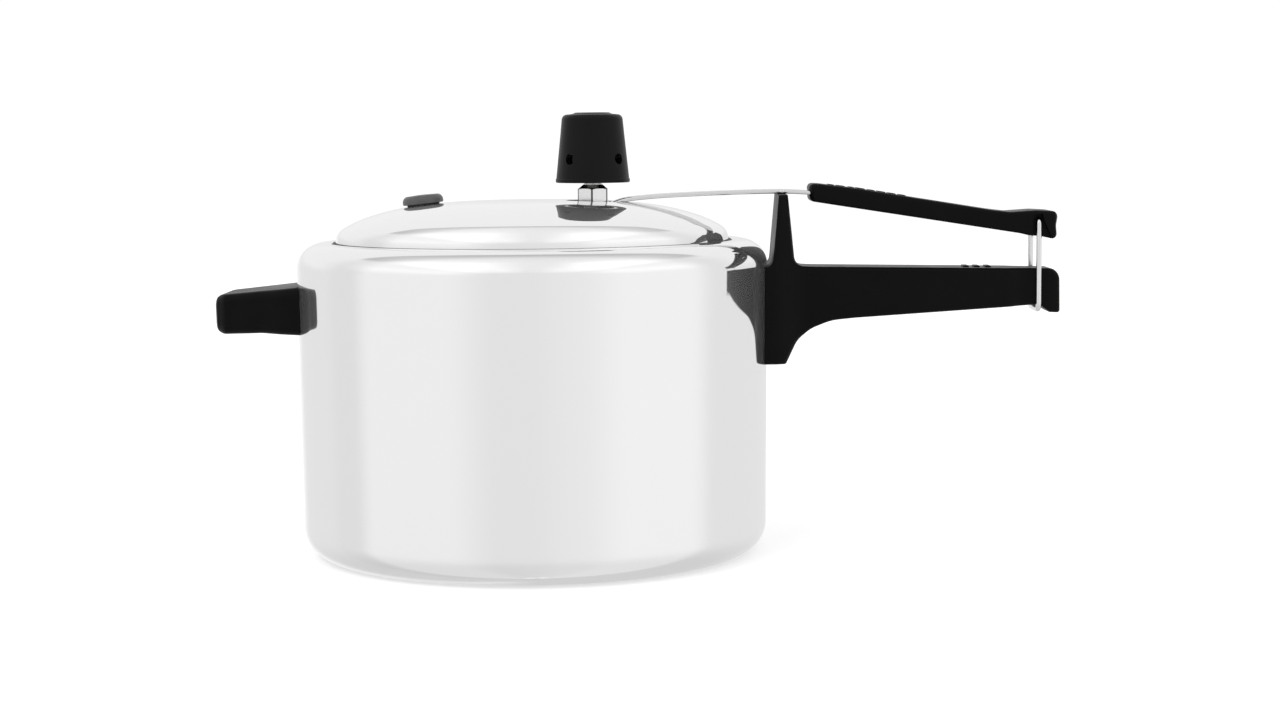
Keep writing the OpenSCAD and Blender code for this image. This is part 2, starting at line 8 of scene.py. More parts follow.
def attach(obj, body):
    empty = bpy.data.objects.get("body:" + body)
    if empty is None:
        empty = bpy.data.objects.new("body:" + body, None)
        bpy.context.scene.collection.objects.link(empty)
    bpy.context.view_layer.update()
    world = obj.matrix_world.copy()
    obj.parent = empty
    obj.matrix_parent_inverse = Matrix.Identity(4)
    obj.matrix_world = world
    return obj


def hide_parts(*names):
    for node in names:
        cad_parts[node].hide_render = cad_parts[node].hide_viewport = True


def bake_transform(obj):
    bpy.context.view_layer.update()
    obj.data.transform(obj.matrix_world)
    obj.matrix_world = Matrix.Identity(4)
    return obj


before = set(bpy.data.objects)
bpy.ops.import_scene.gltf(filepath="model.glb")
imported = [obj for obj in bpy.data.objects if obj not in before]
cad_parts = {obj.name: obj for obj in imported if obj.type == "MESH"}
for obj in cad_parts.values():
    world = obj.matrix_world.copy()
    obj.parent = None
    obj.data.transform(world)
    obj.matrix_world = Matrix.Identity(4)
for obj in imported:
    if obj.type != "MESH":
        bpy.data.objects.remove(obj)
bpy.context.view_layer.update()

MM = 0.001

# ---------------------------------------------------------------- sizes, in millimetres

# Pot
FOOT_R = 102.6
TOP_R = 103.8
FOOT_ROUND = 13.0
SHOULDER_Z = 127.0
SHOULDER_ROUND = 11.0
WALL = 2.0
MOUTH_A = 88.7
MOUTH_B = 84.0
RIM_Z = 138.2
BASE_WALL = 3.0
POT_SEGMENTS = 360

# Lid
LID_A = 86.8
LID_OVAL = 82.2 / LID_A
FLANGE_LOW = 131.0
FLANGE_HIGH = 133.0
FLANGE_R = 92.0
STEM_X = 27.0
SEAT_Z = 152.3
SEAT_R = 13.4
SEAT_BLEND = 2.6

# Strap
STRAP_W = 16.0
STRAP_T = 1.8
POST_X = 110.2

# Handles, grip, bail and weight
SEAT_GAP = 0.12
SCREW_HOLE_R = 4.2
GRIP_SCREWS = (138.0, 176.0)
BAIL_X = 222.6
BAIL_TOP = 145.6
BAIL_LOW = 106.2
BAIL_HALF = 11.2
WIRE_R = 1.2
HOLE_TURN = 50.0
HOLE_R = 2.4
HOLE_Z = 173.8
CORE_R = 11.0
NUT_FLATS = 13
NUT_TURN = 27.5


# ---------------------------------------------------------------- outlines

def arc(cx, cy, r, a0, a1, n):
    """Points on an arc, angles in degrees."""
    angles = [math.radians(a0 + (a1 - a0) * i / n) for i in range(n + 1)]
    return [(cx + r * math.cos(a), cy + r * math.sin(a)) for a in angles]


def rounded(corners, n):
    """A closed outline from (x, y, radius) corners, each corner replaced by a tangent arc."""
    points = []
    count = len(corners)
    for i, (x, y, r) in enumerate(corners):
        here = Vector((x, y))
        before = Vector(corners[i - 1][:2]) - here
        after = Vector(corners[(i + 1) % count][:2]) - here
        if r <= 0:
            points.append((x, y))
            continue
        half = before.angle(after) / 2
        reach = min(r / math.tan(half), 0.49 * before.length, 0.49 * after.length)
        radius = reach * math.tan(half)
        centre = here + (before.normalized() + after.normalized()).normalized() * radius / math.sin(half)
        start = here + before.normalized() * reach - centre
        end = here + after.normalized() * reach - centre
        turn = start.angle_signed(end)
        for k in range(n + 1):
            a = -turn * k / n
            c, s = math.cos(a), math.sin(a)
            points.append((centre.x + start.x * c - start.y * s, centre.y + start.x * s + start.y * c))
    return points


def smooth_path(points, per_span):
    """A Catmull-Rom curve through 2D points."""
    pts = [Vector(p) for p in points]
    ends = [pts[0] * 2 - pts[1]] + pts + [pts[-1] * 2 - pts[-2]]
    out = []
    for i in range(1, len(ends) - 2):
        p0, p1, p2, p3 = ends[i - 1:i + 3]
        for k in range(per_span):
            t = k / per_span
            a = 2 * p1 + (p2 - p0) * t
            b = (2 * p0 - 5 * p1 + 4 * p2 - p3) * t * t
            c = (3 * p1 - p0 - 3 * p2 + p3) * t ** 3
            out.append(tuple((a + b + c) / 2))
    out.append(tuple(pts[-1]))
    return out


def offset_open(points, distance):
    """An open path moved sideways by a distance, to its left where positive."""
    out = []
    for i, p in enumerate(points):
        a = Vector(points[max(i - 1, 0)])
        b = Vector(points[min(i + 1, len(points) - 1)])
        d = (b - a).normalized()
        out.append((p[0] - d.y * distance, p[1] + d.x * distance))
    return out


def smoothstep(t):
    """Eases from 0 to 1, and stays at 0 before and at 1 after."""
    t = max(0.0, min(1.0, t))
    return t * t * (3 - 2 * t)


def eased_value(x, table):
    """Value at x in a list of (x, value), easing in and out between the entries."""
    if x <= table[0][0]:
        return table[0][1]
    for (x0, v0), (x1, v1) in zip(table, table[1:]):
        if x <= x1:
            return v0 + (v1 - v0) * smoothstep((x - x0) / (x1 - x0))
    return table[-1][1]


def height_at(path, x):
    """Height at x on straight lines between (x, z) points, with x rising."""
    for (x0, z0), (x1, z1) in zip(path, path[1:]):
        if x <= x1:
            return z0 + (z1 - z0) * (x - x0) / max(x1 - x0, 1e-9)
    return path[-1][1]


# ---------------------------------------------------------------- meshes

def make_object(name, bm):
    """Turns a bmesh in millimetres into an object in metres, smooth shaded."""
    bmesh.ops.recalc_face_normals(bm, faces=bm.faces)
    bmesh.ops.scale(bm, vec=(MM, MM, MM), verts=bm.verts)
    mesh = bpy.data.meshes.new(name)
    bm.to_mesh(mesh)
    bm.free()
    for poly in mesh.polygons:
        poly.use_smooth = True
    obj = bpy.data.objects.new(name, mesh)
    bpy.context.scene.collection.objects.link(obj)
    return obj


def bm_rings(rings, loop_rings=False):
    """A bmesh lofted through closed rings of equal length; a ring of one point is a pole."""
    bm = bmesh.new()
    rows = [[bm.verts.new(p) for p in ring] for ring in rings]
    pairs = list(zip(rows, rows[1:]))
    if loop_rings:
        pairs.append((rows[-1], rows[0]))
    for low, high in pairs:
        n = max(len(low), len(high))
        for i in range(n):
            j = (i + 1) % n
            quad = []
            for v in (low[i % len(low)], low[j % len(low)], high[j % len(high)], high[i % len(high)]):
                if v not in quad:
                    quad.append(v)
            if len(quad) > 2:
                bm.faces.new(quad)
    return bm


def capped_rings(rings):
    """A bmesh lofted through rings, with a flat face at each end."""
    bm = bm_rings(rings)
    n = len(rings[0])
    bm.verts.ensure_lookup_table()
    bm.faces.new([bm.verts[i] for i in reversed(range(n))])
    bm.faces.new([bm.verts[len(bm.verts) - n + i] for i in range(n)])
    return bm


def turned(name, outline, segments, centre=(0.0, 0.0), oval=1.0, closed=False):
    """A solid of revolution about a vertical axis; points on the axis become poles."""
    rings = []
    for r, z in outline:
        if r < 1e-6:
            rings.append([(centre[0], centre[1], z)])
            continue
        ring = []
        for i in range(segments):
            a = 2 * math.pi * i / segments
            ring.append((centre[0] + r * math.cos(a), centre[1] + r * oval * math.sin(a), z))
        rings.append(ring)
    return make_object(name, bm_rings(rings, loop_rings=closed))


def inset(outline, distance):
    """A closed outline moved inwards by a distance at each corner."""
    area = sum(a[0] * b[1] - b[0] * a[1] for a, b in zip(outline, outline[1:] + outline[:1]))
    side = 1 if area > 0 else -1
    out = []
    for i, p in enumerate(outline):
        before = (Vector(p) - Vector(outline[i - 1])).normalized()
        after = (Vector(outline[(i + 1) % len(outline)]) - Vector(p)).normalized()
        n0 = Vector((-before.y, before.x)) * side
        n1 = Vector((-after.y, after.x)) * side
        mid = n0 + n1
        mid = mid.normalized() if mid.length > 1e-6 else n0
        scale = 1 / max(0.35, mid.dot(n0))
        out.append((p[0] + mid.x * distance * scale, p[1] + mid.y * distance * scale))
    return out


def plate(name, outline, width_table, edge, cuts, steps=5):
    """A plate lying in XZ whose half width follows X, with its long edges rounded to a radius."""
    far = 500.0
    bm = bmesh.new()
    for sign in (-1, 1):
        rows = []
        for k in range(steps + 1):
            a = math.radians(90 * k / steps)
            ring = inset(outline, edge * (1 - math.cos(a)))
            y = sign * (far - edge + edge * math.sin(a))
            rows.append([bm.verts.new((x, y, z)) for x, z in ring])
        for low, high in zip(rows, rows[1:]):
            for i in range(len(low)):
                j = (i + 1) % len(low)
                bm.faces.new((low[i], low[j], high[j], high[i]))
        bm.faces.new(rows[-1])
        if sign < 0:
            first = rows[0]
    for i in range(len(first)):
        j = (i + 1) % len(first)
        other = len(first) * (steps + 1)
        bm.verts.ensure_lookup_table()
        bm.faces.new((first[i], first[j], bm.verts[other + j], bm.verts[other + i]))
    for x in cuts:
        geom = bm.verts[:] + bm.edges[:] + bm.faces[:]
        bmesh.ops.bisect_plane(bm, geom=geom, plane_co=(x, 0, 0), plane_no=(1, 0, 0), dist=1e-4)
    for v in bm.verts:
        sign = 1 if v.co.y > 0 else -1
        v.co.y = sign * (eased_value(v.co.x, width_table) + abs(v.co.y) - far)
    return make_object(name, bm)


def sweep(name, path, radius, sides):
    """A round wire along a path of 3D points, with domed ends."""
    pts = [Vector(p) for p in path]
    rings = []
    normal = None
    for i, p in enumerate(pts):
        d = (pts[min(i + 1, len(pts) - 1)] - pts[max(i - 1, 0)]).normalized()
        if normal is None:
            normal = d.orthogonal().normalized()
        normal = (normal - d * normal.dot(d)).normalized()
        side = d.cross(normal)
        ring = []
        for k in range(sides):
            a = 2 * math.pi * k / sides
            ring.append(p + (normal * math.cos(a) + side * math.sin(a)) * radius)
        rings.append((p, d, ring))
    rows = []
    for end in (0, -1):
        p, d, ring = rings[end]
        out = -d if end == 0 else d
        cap = []
        for a in (30, 60):
            c, s = math.cos(math.radians(a)), math.sin(math.radians(a))
            cap.append([p + (q - p) * c + out * radius * 0.5 * s for q in ring])
        pole = [p + out * radius * 0.5]
        rows.append([pole, cap[1], cap[0]] if end == 0 else [cap[0], cap[1], pole])
    return make_object(name, bm_rings(rows[0] + [r[2] for r in rings] + rows[1]))


def rod(radius, start, end, sides=48):
    """A plain cutter cylinder between two points, in millimetres."""
    start, end = Vector(start), Vector(end)
    d = (end - start).normalized()
    normal = d.orthogonal().normalized()
    side = d.cross(normal)
    rings = []
    for p in (start, end):
        ring = []
        for k in range(sides):
            a = 2 * math.pi * k / sides
            ring.append(p + (normal * math.cos(a) + side * math.sin(a)) * radius)
        rings.append(ring)
    return make_object("cutter", bm_rings([[start]] + rings + [[end]]))


def apply_modifiers(obj):
    bpy.context.view_layer.update()
    evaluated = obj.evaluated_get(bpy.context.evaluated_depsgraph_get())
    mesh = bpy.data.meshes.new_from_object(evaluated)
    obj.modifiers.clear()
    obj.data = mesh


def boolean(obj, tools, operation="DIFFERENCE"):
    """Cuts tools out of an object, or joins them to it, and removes them."""
    for tool in tools:
        mod = obj.modifiers.new("cut", "BOOLEAN")
        mod.operation = operation
        mod.solver = "EXACT"
        mod.object = tool
    apply_modifiers(obj)
    if not obj.data.vertices:
        raise RuntimeError(f"nothing is left of {obj.name} after cutting")
    for tool in tools:
        bpy.data.objects.remove(tool, do_unlink=True)


def soften(obj, width, angle):
    """Rounds the edges sharper than an angle a little and keeps the shading flat on the large faces."""
    mod = obj.modifiers.new("edges", "BEVEL")
    mod.width = width * MM
    mod.segments = 2
    mod.limit_method = "ANGLE"
    mod.angle_limit = math.radians(angle)
    mod.harden_normals = False
    mod.use_clamp_overlap = True
    keep = obj.modifiers.new("normals", "WEIGHTED_NORMAL")
    keep.keep_sharp = False
    keep.weight = 80


# ---------------------------------------------------------------- materials

def new_material(name):
    mat = bpy.data.materials.new(name)
    mat.use_nodes = True
    nodes = mat.node_tree.nodes
    shader = nodes["Principled BSDF"]
    return mat, nodes, mat.node_tree.links, shader


def ramp(nodes, links, source, low, high, v0, v1):
    """Maps a factor from low..high to v0..v1."""
    node = nodes.new("ShaderNodeMapRange")
    node.inputs["From Min"].default_value = low
    node.inputs["From Max"].default_value = high
    node.inputs["To Min"].default_value = v0
    node.inputs["To Max"].default_value = v1
    links.new(source, node.inputs["Value"])
    return node.outputs["Result"]


def noise(nodes, links, vector, scale, detail, rough):
    node = nodes.new("ShaderNodeTexNoise")
    node.inputs["Scale"].default_value = scale
    node.inputs["Detail"].default_value = detail
    node.inputs["Roughness"].default_value = rough
    links.new(vector, node.inputs["Vector"])
    return node.outputs["Fac"]


def tint(nodes, links, factor, dark, light):
    node = nodes.new("ShaderNodeMix")
    node.data_type = "RGBA"
    node.inputs["A"].default_value = (*dark, 1)
    node.inputs["B"].default_value = (*light, 1)
    links.new(factor, node.inputs["Factor"])
    return node.outputs["Result"]


def bump(nodes, links, height, strength, distance, shader):
    node = nodes.new("ShaderNodeBump")
    node.inputs["Strength"].default_value = strength
    node.inputs["Distance"].default_value = distance
    links.new(height, node.inputs["Height"])
    links.new(node.outputs["Normal"], shader.inputs["Normal"])


def stretched(nodes, links, scale):
    """Object coordinates, scaled per axis."""
    coords = nodes.new("ShaderNodeTexCoord")
    mapping = nodes.new("ShaderNodeMapping")
    mapping.inputs["Scale"].default_value = scale
    links.new(coords.outputs["Object"], mapping.inputs["Vector"])
    return mapping.outputs["Vector"]


def radial(nodes, links):
    """Coordinates that only change with the distance from the pot's axis and with height."""
    coords = nodes.new("ShaderNodeTexCoord")
    flat = nodes.new("ShaderNodeVectorMath")
    flat.operation = "MULTIPLY"
    flat.inputs[1].default_value = (1, 1, 0)
    length = nodes.new("ShaderNodeVectorMath")
    length.operation = "LENGTH"
    split = nodes.new("ShaderNodeSeparateXYZ")
    join = nodes.new("ShaderNodeCombineXYZ")
    links.new(coords.outputs["Object"], flat.inputs[0])
    links.new(flat.outputs["Vector"], length.inputs[0])
    links.new(coords.outputs["Object"], split.inputs["Vector"])
    links.new(length.outputs["Value"], join.inputs["X"])
    links.new(split.outputs["Z"], join.inputs["Z"])
    return join.outputs["Vector"]


def polished_aluminium(name, base, rough, line_strength, haze):
    """Polished aluminium with faint turning lines, a soft cloudiness and a little haze in its polish."""
    mat, nodes, links, shader = new_material(name)
    shader.inputs["Metallic"].default_value = 1 - haze
    lines = noise(nodes, links, radial(nodes, links), 900, 2.0, 0.6)
    clouds = noise(nodes, links, stretched(nodes, links, (1, 1, 1)), 14, 4.0, 0.6)
    dark = tuple(c * 0.985 for c in base)
    links.new(tint(nodes, links, clouds, dark, base), shader.inputs["Base Color"])
    links.new(ramp(nodes, links, clouds, 0.3, 0.7, rough * 0.85, rough * 1.2), shader.inputs["Roughness"])
    bump(nodes, links, lines, line_strength, 0.00004, shader)
    return mat


def brushed_metal(name, base, rough, scale, strength=0.12):
    """Drawn or rolled metal with grain along the axis of the smallest scale."""
    mat, nodes, links, shader = new_material(name)
    shader.inputs["Metallic"].default_value = 1.0
    grain = noise(nodes, links, stretched(nodes, links, scale), 1.0, 3.0, 0.6)
    blotch = noise(nodes, links, stretched(nodes, links, (1, 1, 1)), 60, 3.0, 0.5)
    dark = tuple(c * 0.86 for c in base)
    links.new(tint(nodes, links, grain, dark, base), shader.inputs["Base Color"])
    links.new(ramp(nodes, links, blotch, 0.3, 0.7, rough * 0.8, rough * 1.25), shader.inputs["Roughness"])
    bump(nodes, links, grain, strength, 0.00005, shader)
    return mat


def phenolic(name, rough, gloss):
    """Moulded black phenolic: nearly black, with a fine moulded texture and faint polish marks."""
    mat, nodes, links, shader = new_material(name)
    fine = noise(nodes, links, stretched(nodes, links, (1, 1, 1)), 1500, 2.0, 0.5)
    wide = noise(nodes, links, stretched(nodes, links, (1, 1, 1)), 55, 4.0, 0.6)
    links.new(tint(nodes, links, wide, (0.0022, 0.0022, 0.0023), (0.0042, 0.0041, 0.004)),
              shader.inputs["Base Color"])
    links.new(ramp(nodes, links, wide, 0.25, 0.75, rough * 0.85, rough * 1.2), shader.inputs["Roughness"])
    shader.inputs["Specular IOR Level"].default_value = gloss
    bump(nodes, links, fine, 0.12, 0.00005, shader)
    return mat


def rubber(name, level=0.012, rough=0.5):
    """Smooth moulded rubber with a fine bloom."""
    mat, nodes, links, shader = new_material(name)
    bloom = noise(nodes, links, stretched(nodes, links, (1, 1, 1)), 220, 4.0, 0.6)
    fine = noise(nodes, links, stretched(nodes, links, (1, 1, 1)), 2200, 2.0, 0.5)
    links.new(tint(nodes, links, bloom, (level * 0.7,) * 3, (level * 1.6,) * 3), shader.inputs["Base Color"])
    links.new(ramp(nodes, links, bloom, 0.3, 0.7, rough * 0.85, rough * 1.15), shader.inputs["Roughness"])
    bump(nodes, links, fine, 0.15, 0.00006, shader)
    return mat


MATERIALS = {
    "pot_aluminium": polished_aluminium("pot_aluminium", (0.91, 0.91, 0.91), 0.055, 0.05, 0.06),
    "lid_aluminium": polished_aluminium("lid_aluminium", (0.91, 0.91, 0.91), 0.035, 0.04, 0.12),
    "inner_aluminium": polished_aluminium("inner_aluminium", (0.78, 0.78, 0.79), 0.32, 0.5, 0.0),
    "black_phenolic": phenolic("black_phenolic", 0.34, 0.06),
    "weight_phenolic": phenolic("weight_phenolic", 0.38, 0.14),
    "gasket_rubber": rubber("gasket_rubber"),
    "valve_rubber": rubber("valve_rubber", 0.07, 0.4),
    "strap_steel": brushed_metal("strap_steel", (0.78, 0.78, 0.79), 0.2, (40, 2500, 2500)),
    "bail_steel": brushed_metal("bail_steel", (0.86, 0.86, 0.87), 0.16, (2500, 2500, 60)),
    "bracket_steel": brushed_metal("bracket_steel", (0.62, 0.62, 0.63), 0.35, (1800, 60, 1800)),
    "rivet_aluminium": brushed_metal("rivet_aluminium", (0.82, 0.82, 0.83), 0.28, (900, 900, 900)),
    "screw_steel": brushed_metal("screw_steel", (0.72, 0.73, 0.75), 0.25, (1200, 1200, 300)),
    "nut_steel": brushed_metal("nut_steel", (0.86, 0.86, 0.86), 0.22, (300, 300, 2400), 0.2),
    "stem_metal": brushed_metal("stem_metal", (0.62, 0.62, 0.61), 0.25, (500, 500, 3500), 0.3),
    "needle_steel": brushed_metal("needle_steel", (0.60, 0.60, 0.58), 0.24, (500, 500, 3500)),
    "core_steel": brushed_metal("core_steel", (0.09, 0.09, 0.09), 0.5, (500, 500, 3500)),
    # painted shade: a dark steel for the nut's rounded corners and chamfers, drawing dark lines along its
    # edges
    "nut_edge_painted_shade": brushed_metal("nut_edge_painted_shade", (0.13, 0.13, 0.13), 0.4, (500, 500, 500)),
}


def paint(obj, slot):
    """Gives an object the material of one of the record's slots."""
    obj.data.materials.clear()
    obj.data.materials.append(MATERIALS[slot])


def stand_for(obj, body, slot, *nodes):
    """Finishes a new piece: its material, its body and the CAD nodes that it replaces."""
    paint(obj, slot)
    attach(obj, body)
    if nodes:
        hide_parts(*nodes)


# ---------------------------------------------------------------- pot

def wall_r(z):
    return FOOT_R + (TOP_R - FOOT_R) * (z - FOOT_ROUND) / (SHOULDER_Z - FOOT_ROUND)


def mouth_r(angle):
    """Distance of the oval mouth's edge from the pot axis at an angle."""
    c, s = math.cos(angle), math.sin(angle)
    return MOUTH_A * MOUTH_B / math.hypot(MOUTH_B * c, MOUTH_A * s)


def build_pot():
    ring_r = TOP_R - SHOULDER_ROUND
    foot_x = FOOT_R - FOOT_ROUND
    edge = WALL / 2
    outer = [(0, 0.5), (40, 0.5), (60, 0.5), (62, 0.1), (64, 0.0), (76, 0.0), (foot_x, 0.0)]
    outer += arc(foot_x, FOOT_ROUND, FOOT_ROUND, -90, 0, 24)[1:]
    wall = [SHOULDER_Z * k / 14 for k in range(2, 14)]
    outer += [(wall_r(z), z) for z in wall]
    outer += arc(ring_r, SHOULDER_Z, SHOULDER_ROUND, 0, 90, 28)
    inner = arc(ring_r, SHOULDER_Z, SHOULDER_ROUND - WALL, 90, 0, 20)
    inner += [(wall_r(z) - WALL, z) for z in reversed(wall)]
    inner += arc(foot_x, FOOT_ROUND, FOOT_ROUND - WALL, 0, -80, 16)
    inner += [(foot_x - 6, BASE_WALL), (60, BASE_WALL), (30, BASE_WALL), (0, BASE_WALL)]
    segments = POT_SEGMENTS
    rings = []
    for r, z in outer:
        rings.append(ring_points(r, z, segments) if r > 0 else [(0, 0, z)])
    # the flat ring runs from the round shoulder to the oval mouth, whose edge is rounded over
    for t in (0.25, 0.5, 0.75):
        rings.append(blend_ring(ring_r, t, edge, RIM_Z - 0.2 + 0.2 * t, segments))
    for k in range(9):
        a = math.radians(90 + 180 * k / 8)
        rings.append(edge_ring(edge + edge * math.cos(a), RIM_Z - edge + edge * math.sin(a), segments))
    for t in (0.66, 0.33):
        rings.append(blend_ring(ring_r, t, edge, RIM_Z - WALL - 0.2 + 0.2 * t, segments))
    for r, z in inner:
        rings.append(ring_points(r, z, segments) if r > 0 else [(0, 0, z)])
    pot = make_object("pot", bm_rings(rings))
    stand_for(pot, "pot", "pot_aluminium", "pot_body")
    pot.data.materials.append(MATERIALS["inner_aluminium"])
    inside_r = (ring_r + 8) * MM
    for poly in pot.data.polygons:
        c = poly.center
        out = poly.normal.x * c.x + poly.normal.y * c.y
        r = math.hypot(c.x, c.y)
        floor = 0.0015 < c.z < 0.1 and poly.normal.z > 0.5 and r < inside_r
        wall_inside = out < 0 and r < (TOP_R - 1.2) * MM and c.z < 0.136
        if floor or wall_inside:
            poly.material_index = 1
    return pot


def ring_points(r, z, n):
    return [(r * math.cos(2 * math.pi * i / n), r * math.sin(2 * math.pi * i / n), z) for i in range(n)]


def blend_ring(ring_r, t, edge, z, n):
    """A ring part of the way from a circle to the oval mouth."""
    points = []
    for i in range(n):
        a = 2 * math.pi * i / n
        r = ring_r + (mouth_r(a) + edge - ring_r) * t
        points.append((r * math.cos(a), r * math.sin(a), z))
    return points


def edge_ring(out, z, n):
    """A ring at a distance outside the oval mouth."""
    points = []
    for i in range(n):
        a = 2 * math.pi * i / n
        r = mouth_r(a) + out
        points.append((r * math.cos(a), r * math.sin(a), z))
    return points


# ---------------------------------------------------------------- lid

# The lid's side view: a shallow crown that steepens evenly, and a rounded shoulder
CROWN = [(r, 155.95 - 2.9e-4 * r ** 2 - 1.92e-7 * r ** 4) for r in range(0, 76, 5)]
LID_OUTLINE = CROWN + [
    (80.2, 145.95), (83.8, 143.9), (85.9, 141.6), (86.7, 139.0), (LID_A, 136.4), (LID_A, 134.2),
]
CROWN_R = 81.3
OVAL_R = 86.7


def lid_radius(x, y):
    """Distance that sets the lid's height: round over the crown, oval from the shoulder outwards."""
    oval_r = math.hypot(x, y / LID_OVAL)
    mix = smoothstep((oval_r - CROWN_R) / (OVAL_R - CROWN_R))
    return math.hypot(x, y) * (1 - mix) + oval_r * mix


def build_lid():
    crown = smooth_path(LID_OUTLINE, 10)
    fine = []
    longest_step = 0.8
    for (r0, z0), (r1, z1) in zip(crown, crown[1:]):
        steps = max(1, int(math.ceil((r1 - r0) / longest_step)))
        for k in range(steps):
            fine.append((r0 + (r1 - r0) * k / steps, z0 + (z1 - z0) * k / steps))
    fine.append(crown[-1])
    hollow = offset_open(fine, -WALL)
    hollow[0] = (0, fine[0][1] - WALL)
    paths = {"outside": fine, "inside": hollow}
    flange = arc(LID_A + 1.2, FLANGE_HIGH + 1.2, 1.2, 180, 270, 5)
    flange += arc(FLANGE_R - 1.0, (FLANGE_LOW + FLANGE_HIGH) / 2, 1.0, 90, -90, 8)
    flange += arc(LID_A - WALL + 1.6, FLANGE_LOW + 1.6, 1.6, 270, 180, 6)
    outline = [("outside", *p) for p in fine] + [("flange", *p) for p in flange]
    outline += [("inside", *p) for p in reversed(hollow) if p[1] > FLANGE_LOW + 1.6]
    segments = 320
    rings = []
    for kind, r, z in outline:
        if r < 1e-6:
            rings.append([(0, 0, z)])
            continue
        ring = []
        for i in range(segments):
            a = 2 * math.pi * i / segments
            x, y = r * math.cos(a), r * LID_OVAL * math.sin(a)
            height = z
            if kind in paths and r < OVAL_R:
                height = height_at(paths[kind], lid_radius(x, y))
            ring.append((x, y, seat_height(kind, x, y, height)))
        rings.append(ring)
    lid = make_object("lid", bm_rings(rings))
    hole = rod(4.2, (STEM_X, 0, SEAT_Z - 8), (STEM_X, 0, SEAT_Z + 8), 64)
    boolean(lid, [hole])
    for poly in lid.data.polygons:
        poly.use_smooth = True
    stand_for(lid, "lid", "lid_aluminium", "lid_shell")
    lid.data.materials.append(MATERIALS["inner_aluminium"])
    for poly in lid.data.polygons:
        if poly.normal.z < -0.15 and poly.center.z > 0.1335:
            poly.material_index = 1
    return lid


def seat_height(kind, x, y, z):
    """Height of the lid sheet with the pressed seat of the valve stem."""
    if kind == "flange":
        return z
    target = SEAT_Z if kind == "outside" else SEAT_Z - WALL
    s = 1 - smoothstep((math.hypot(x - STEM_X, y) - SEAT_R) / SEAT_BLEND)
    return z + (target - z) * s


def build_gasket():
    base = FLANGE_HIGH + 0.05
    lip = base + 5.2
    outline = rounded([
        (LID_A + 0.1, base, 0.2), (LID_A + 5.2, base, 0.5), (LID_A + 5.2, base + 2.8, 0.9),
        (LID_A + 2.2, base + 2.85, 0.7), (LID_A + 1.4, base + 3.4, 0.4), (LID_A + 1.2, lip, 0.5),
        (LID_A + 0.1, lip, 0.5),
    ], 4)
    gasket = turned("gasket", outline, 256, oval=LID_OVAL, closed=True)
    stand_for(gasket, "lid", "gasket_rubber", "lid_gasket")


STRAP_LINE = [
    (19.9, SEAT_Z), (30, SEAT_Z), (34, 152.5), (37.5, 153.8), (41, 154.85), (47, 155.6), (56, 156.3),
    (66, 156.8), (81, 157.35), (96, 157.75), (POST_X, 157.9), (122, 157.3), (132, 156.5), (160, 152.4),
    (188, 148.3),
]


def strap_half_width(x):
    """Half width of the strap: a round end about the stem, then widening to full width."""
    end_r = 7.1
    if x < STEM_X:
        return math.sqrt(max(0.0, end_r ** 2 - (STEM_X - x) ** 2))
    return eased_value(x, [(STEM_X, end_r), (46, STRAP_W / 2)])


def strap_mesh(name, low, high):
    """The strap between two X positions, as a lofted strip with rounded edges."""
    centre_line = smooth_path(STRAP_LINE, 12)
    least_gap = 0.05
    line = [(low, height_at(centre_line, low))]
    line += [p for p in centre_line if low + least_gap < p[0] < high - least_gap]
    line += [(high, height_at(centre_line, high))]
    edge = 0.75
    rings = []
    for i, (x, z) in enumerate(line):
        a = Vector(line[max(i - 1, 0)])
        b = Vector(line[min(i + 1, len(line) - 1)])
        d = (b - a).normalized()
        up = Vector((-d.y, d.x))
        half = max(strap_half_width(x), 0.6)
        corner = []
        for step in range(6):
            turn = math.radians(90 * step / 5)
            corner.append((-half + edge * (1 - math.cos(turn)), edge * (1 - math.sin(turn))))
        section = corner + [(-half * 0.5, 0), (0, 0), (half * 0.5, 0)]
        section += [(-y, t) for y, t in reversed(corner)]
        section += [(y, STRAP_T - t) for y, t in reversed(section)]
        rings.append([(x + up.x * t, y, z + up.y * t) for y, t in section])
    first = [tuple(sum(c) / len(rings[0]) for c in zip(*rings[0]))]
    last = [tuple(sum(c) / len(rings[-1]) for c in zip(*rings[-1]))]
    return make_object(name, bm_rings([first] + rings + [last]))


def build_strap():
    inner = strap_mesh("strap_inner", 20.2, POST_X)
    boolean(inner, [rod(4.15, (STEM_X, 0, 148), (STEM_X, 0, 160))])
    outer = strap_mesh("strap_outer", POST_X, 188)
    for piece in (inner, outer):
        paint(piece, "strap_steel")
        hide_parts("lid_strap")
    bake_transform(inner)
    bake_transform(outer)


# ---------------------------------------------------------------- handles

def pot_cutter():
    """The outside of the pot's wall as a solid, a gap larger, for cutting the handles' seats."""
    low, high = -5, 180
    outline = [(0, low), (wall_r(low) + SEAT_GAP, low), (wall_r(high) + SEAT_GAP, high), (0, high)]
    return turned("cutter", outline, 360)


LONG_HANDLE = [
    (94, 83.4, 0), (111.2, 83.4, 1.2), (116.4, 93.6, 12), (122.6, 98.6, 16), (131.5, 102.1, 24),
    (142, 103.1, 30), (219, 107.9, 1.0), (223.6, 107.9, 1.0), (227.8, 104.7, 1.4), (232.6, 104.4, 1.2),
    (232.4, 124.1, 5.2), (124.0, 125.9, 2.0), (115.6, 126.3, 7.2), (112.35, 157.8, 0.8),
    (108.2, 157.8, 0.9), (105.4, 126.2, 3.4), (94, 126.2, 0),
]
LONG_HANDLE_WIDTH = [(94, 19), (105.5, 19), (121, 12), (209, 12), (216, 9.6), (228, 9.6), (232.6, 8.8)]


